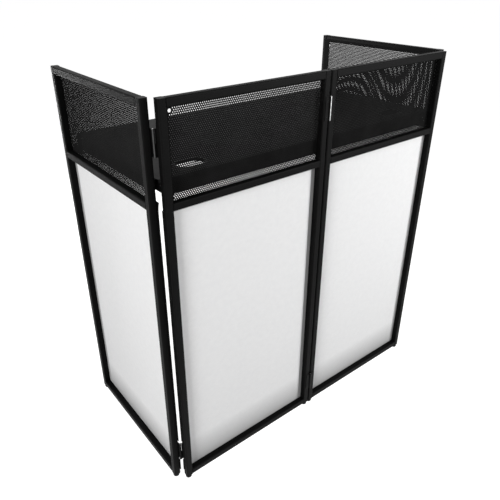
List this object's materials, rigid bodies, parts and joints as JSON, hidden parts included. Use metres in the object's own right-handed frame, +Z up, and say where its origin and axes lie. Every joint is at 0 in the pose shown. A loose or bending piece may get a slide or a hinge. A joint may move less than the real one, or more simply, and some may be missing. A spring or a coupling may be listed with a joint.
{
  "type": "dj booth",
  "caption": "Folding booth of hinged black tube panels with white cloth scrims below, perforated steel sheets above and a lift-off table with cable ports.",
  "frame": {"origin": "middle of the footprint, on the floor", "axes": "+Z up, the front panels face -Y and the wings run back along +Y"},
  "size_m": [1.075, 0.5412, 1.155],
  "materials": {
    "frame_paint": "satin black powder coat",
    "mesh_paint": "black powder coat on perforated steel",
    "scrim_cloth": "white stretch knit",
    "foot_plastic": "moulded black plastic",
    "cap_plastic": "moulded black plastic",
    "hinge_steel": "black coated steel, worn bright on the knuckles",
    "pin_steel": "bright zinc",
    "table_laminate": "black laminate on board, satin",
    "grommet_plastic": "moulded black plastic"
  },
  "bodies": {
    "front_left_panel": {"front_left_left_stile": "frame_paint", "front_left_right_stile": "frame_paint", "front_left_top_rail": "frame_paint", "front_left_mid_rail": "frame_paint", "front_left_bottom_rail": "frame_paint", "front_left_mesh": "mesh_paint", "front_left_scrim": "scrim_cloth", "front_left_feet": "foot_plastic", "front_left_caps": "cap_plastic", "centre_hinge_fixed_leaves": "hinge_steel", "centre_hinge_pins": "pin_steel", "left_hinge_fixed_leaves": "hinge_steel", "left_hinge_pins": "pin_steel", "front_left_end_bracket": "frame_paint"},
    "front_right_panel": {"front_right_left_stile": "frame_paint", "front_right_right_stile": "frame_paint", "front_right_top_rail": "frame_paint", "front_right_mid_rail": "frame_paint", "front_right_bottom_rail": "frame_paint", "front_right_mesh": "mesh_paint", "front_right_scrim": "scrim_cloth", "front_right_feet": "foot_plastic", "front_right_caps": "cap_plastic", "centre_hinge_moving_leaves": "hinge_steel", "right_hinge_fixed_leaves": "hinge_steel", "right_hinge_pins": "pin_steel", "front_right_end_bracket": "frame_paint"},
    "left_wing_panel": {"left_wing_left_stile": "frame_paint", "left_wing_right_stile": "frame_paint", "left_wing_top_rail": "frame_paint", "left_wing_mid_rail": "frame_paint", "left_wing_bottom_rail": "frame_paint", "left_wing_mesh": "mesh_paint", "left_wing_scrim": "scrim_cloth", "left_wing_feet": "foot_plastic", "left_wing_caps": "cap_plastic", "left_hinge_moving_leaves": "hinge_steel", "left_wing_bracket": "frame_paint"},
    "right_wing_panel": {"right_wing_left_stile": "frame_paint", "right_wing_right_stile": "frame_paint", "right_wing_top_rail": "frame_paint", "right_wing_mid_rail": "frame_paint", "right_wing_bottom_rail": "frame_paint", "right_wing_mesh": "mesh_paint", "right_wing_scrim": "scrim_cloth", "right_wing_feet": "foot_plastic", "right_wing_caps": "cap_plastic", "right_hinge_moving_leaves": "hinge_steel", "right_wing_bracket": "frame_paint"},
    "table": {"table_board": "table_laminate", "table_front_rail": "frame_paint", "table_rear_rail": "frame_paint", "table_left_rail": "frame_paint", "table_right_rail": "frame_paint", "table_grommets": "grommet_plastic"}
  },
  "joints": [
    {"name": "centre_fold", "type": "hinge", "parent": "front_left_panel", "child": "front_right_panel", "pos_m": [0, -0.26732, 0.5835], "axis": [0, 0, -1], "range_deg": [0, 175]},
    {"name": "left_wing_swing", "type": "hinge", "parent": "front_left_panel", "child": "left_wing_panel", "pos_m": [-0.5151, -0.24252, 0.5835], "axis": [0, 0, 1], "range_deg": [0, 90]},
    {"name": "right_wing_swing", "type": "hinge", "parent": "front_right_panel", "child": "right_wing_panel", "pos_m": [0.5151, -0.24252, 0.5835], "axis": [0, 0, -1], "range_deg": [0, 90]},
    {"name": "table_lift", "type": "slide", "parent": "front_left_panel", "child": "table", "axis": [0, 0, 1], "range_m": [0, 0.3]}
  ]
}
